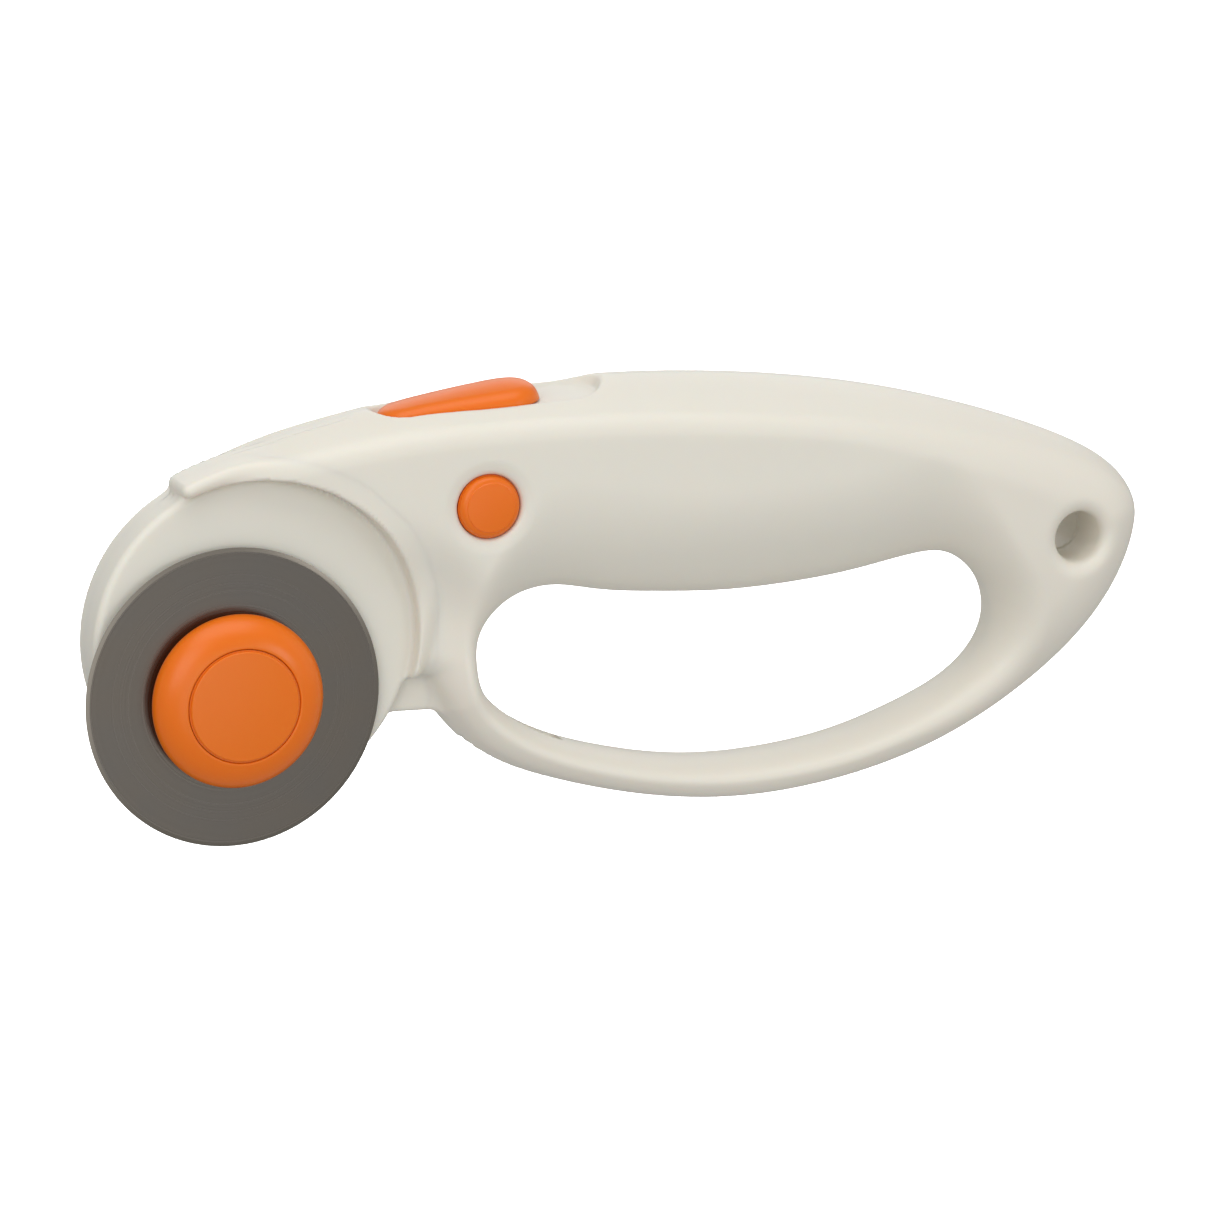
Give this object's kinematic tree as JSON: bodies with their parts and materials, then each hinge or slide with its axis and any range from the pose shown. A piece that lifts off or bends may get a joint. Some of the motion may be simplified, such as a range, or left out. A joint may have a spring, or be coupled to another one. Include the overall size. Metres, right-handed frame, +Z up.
{
  "type": "rotary cutter",
  "caption": "Handheld rotary cutter for fabric: round blade on a retracting carrier, thumb slide, cross-bolt lock and a closed finger loop.",
  "frame": {"origin": "centre of the hang hole on the handle's middle plane", "axes": "+X from the blade to the tail, along the handle; +Z up in use; +Y along the hang hole and the blade's axle, away from the blade side"},
  "size_m": [0.1688, 0.026, 0.0677],
  "materials": {
    "shell": "satin off-white moulded plastic",
    "orange": "semi-gloss orange moulded plastic",
    "inner_plastic": "plain dark acetal",
    "blade_steel": "satin tungsten-grey tool steel with a ground edge",
    "zinc_steel": "zinc plated steel",
    "spring_steel": "bright spring steel",
    "brass": "turned brass",
    "rubber": "black rubber"
  },
  "bodies": {
    "housing": {"front_shell": "shell", "blade_guard": "shell", "rear_shell": "shell", "housing_screws": "zinc_steel", "guard_screws": "zinc_steel"},
    "slide": {"thumb_slide": "orange", "slide_carriage": "inner_plastic", "slide_rivets": "zinc_steel", "detent_spring": "spring_steel"},
    "carrier": {"blade_carrier": "zinc_steel", "cam_pin": "spring_steel", "cam_roller": "inner_plastic", "axle_bolt": "zinc_steel", "support_washer": "zinc_steel", "blade_bush": "inner_plastic", "pressure_washer": "zinc_steel", "disc_spring": "spring_steel", "nut_insert": "brass", "blade_nut": "orange", "nut_cap": "orange"},
    "blade": {"blade": "blade_steel"},
    "lock": {"lock_button": "orange", "lock_o_ring": "rubber", "lock_bolt": "inner_plastic", "lock_rear_button": "orange"}
  },
  "joints": [
    {"name": "slide_push", "type": "slide", "parent": "housing", "child": "slide", "axis": [0.9971, 0, 0.0767], "range_m": [0, 0.009], "deforming": ["detent_spring"]},
    {"name": "carrier_lift", "type": "slide", "parent": "housing", "child": "carrier", "axis": [0.4472, 0, 0.8944], "range_m": [0, 0.00873]},
    {"name": "blade_spin", "type": "hinge", "parent": "carrier", "child": "blade", "pos_m": [-0.134, 0, -0.0139], "axis": [0, 1, 0], "continuous": true},
    {"name": "lock_push", "type": "slide", "parent": "housing", "child": "lock", "axis": [0, 1, 0], "range_m": [0, 0.0025]}
  ],
  "couplings": [
    {"joint": "carrier_lift", "follows": "slide_push", "ratio": 0.96896}
  ]
}
